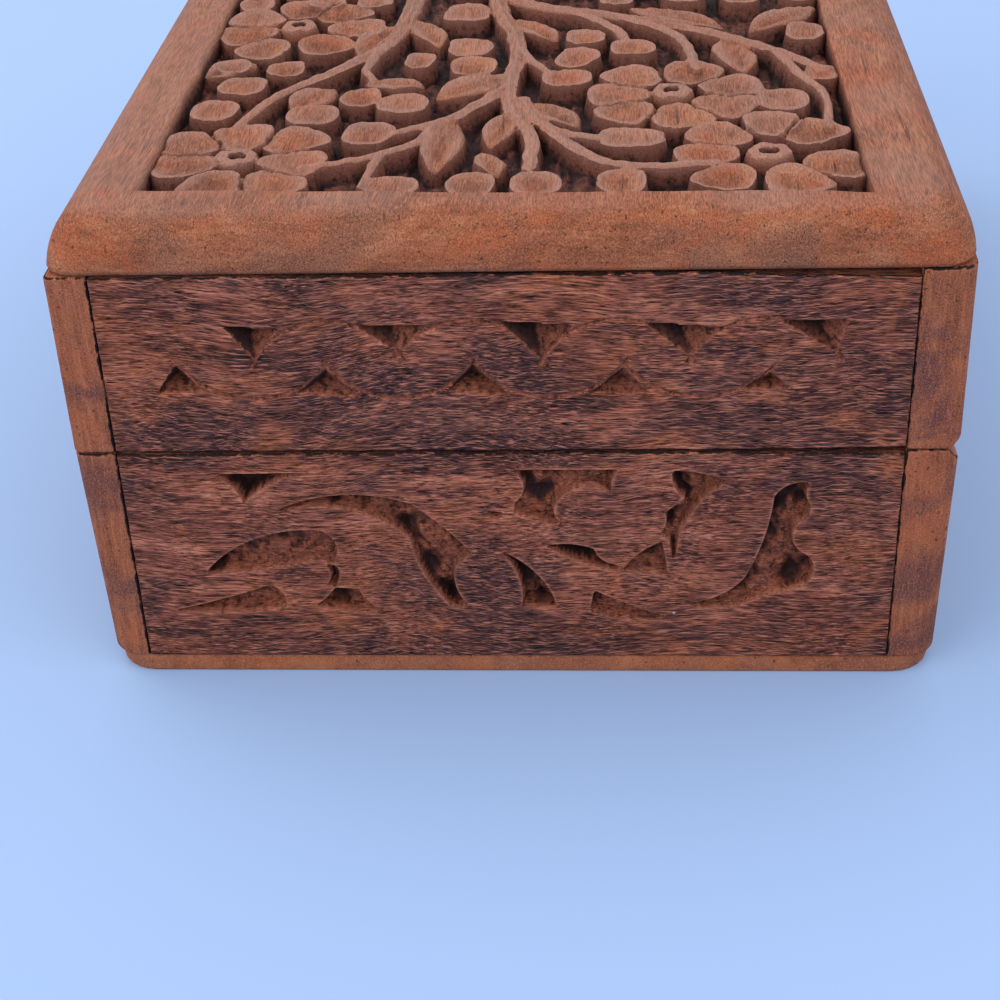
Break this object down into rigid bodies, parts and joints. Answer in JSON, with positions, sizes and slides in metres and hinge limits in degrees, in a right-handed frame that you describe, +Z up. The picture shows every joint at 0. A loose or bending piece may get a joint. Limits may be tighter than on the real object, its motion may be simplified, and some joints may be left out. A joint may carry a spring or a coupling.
{
  "type": "trinket box",
  "caption": "Small rectangular hardwood trinket box with a relief-carved floral lid, carved side panels and a lid that opens on brass butt hinges at the back.",
  "frame": {"origin": "middle of the box's underside, on the surface it stands on", "axes": "+Z up; X along the box's length; the lid opens at the front, -Y, and its hinges are at the back, +Y; the carved end that the picture shows faces +X"},
  "size_m": [0.1524, 0.1016, 0.061],
  "materials": {
    "carved_top": "hand-rubbed, satin, orange-brown end grain",
    "wall_boards": "hand-rubbed, satin, orange-brown",
    "end_panels": "hand-rubbed, satin, dark purple-brown heartwood",
    "base_board": "plain sanded",
    "hinge_brass": "dulled brass"
  },
  "bodies": {
    "base": {"base_bottom_board": "base_board", "base_front_wall": "wall_boards", "base_back_wall": "wall_boards", "base_right_panel": "end_panels", "base_left_panel": "end_panels", "right_hinge_base_plate": "hinge_brass", "right_hinge_pin": "hinge_brass", "right_hinge_base_screws": "hinge_brass", "left_hinge_base_plate": "hinge_brass", "left_hinge_pin": "hinge_brass", "left_hinge_base_screws": "hinge_brass"},
    "lid": {"lid_top_board": "carved_top", "lid_front_wall": "wall_boards", "lid_back_wall": "wall_boards", "lid_right_panel": "end_panels", "lid_left_panel": "end_panels", "right_hinge_lid_plate": "hinge_brass", "right_hinge_lid_screws": "hinge_brass", "left_hinge_lid_plate": "hinge_brass", "left_hinge_lid_screws": "hinge_brass"}
  },
  "joints": [
    {"name": "lid_hinge", "type": "hinge", "parent": "base", "child": "lid", "pos_m": [0, 0.0495, 0.032], "axis": [-1, 0, 0], "range_deg": [0, 100]}
  ]
}
